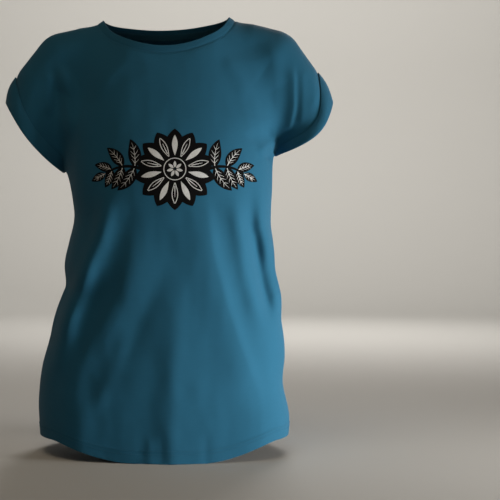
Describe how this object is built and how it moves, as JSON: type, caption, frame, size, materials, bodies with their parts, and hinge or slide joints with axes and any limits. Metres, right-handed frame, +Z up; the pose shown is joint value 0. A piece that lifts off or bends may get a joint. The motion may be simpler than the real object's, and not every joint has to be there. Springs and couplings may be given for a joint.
{
  "type": "t-shirt",
  "caption": "Women's relaxed cotton jersey T-shirt with grown-on cap sleeves and turned-up cuffs, in its worn shape, standing on its hem, open at neck, sleeves and hem.",
  "frame": {"origin": "middle of the bounding box, on the floor that the hem stands on", "axes": "+Z up the body, -Y out of the front of the shirt, +X towards the wearer's left sleeve"},
  "size_m": [0.477, 0.259, 0.6343],
  "materials": {
    "jersey": "petrol blue single jersey, matt, fine vertical wales, with a black and white ornament printed on the chest",
    "cuff": "the same jersey, turned up and pressed",
    "rib": "narrow rib band in the jersey's colour, topstitched below its seam",
    "hem": "doubled jersey, twin-needle stitched",
    "tape": "smooth herringbone tape in the jersey's colour"
  },
  "bodies": {
    "root": {"front_body": "jersey", "front_yoke": "jersey", "back_body": "jersey", "back_yoke": "jersey", "left_cuff": "cuff", "right_cuff": "cuff", "neckband": "rib", "front_hem": "hem", "back_hem": "hem", "neck_tape": "tape"}
  },
  "joints": []
}
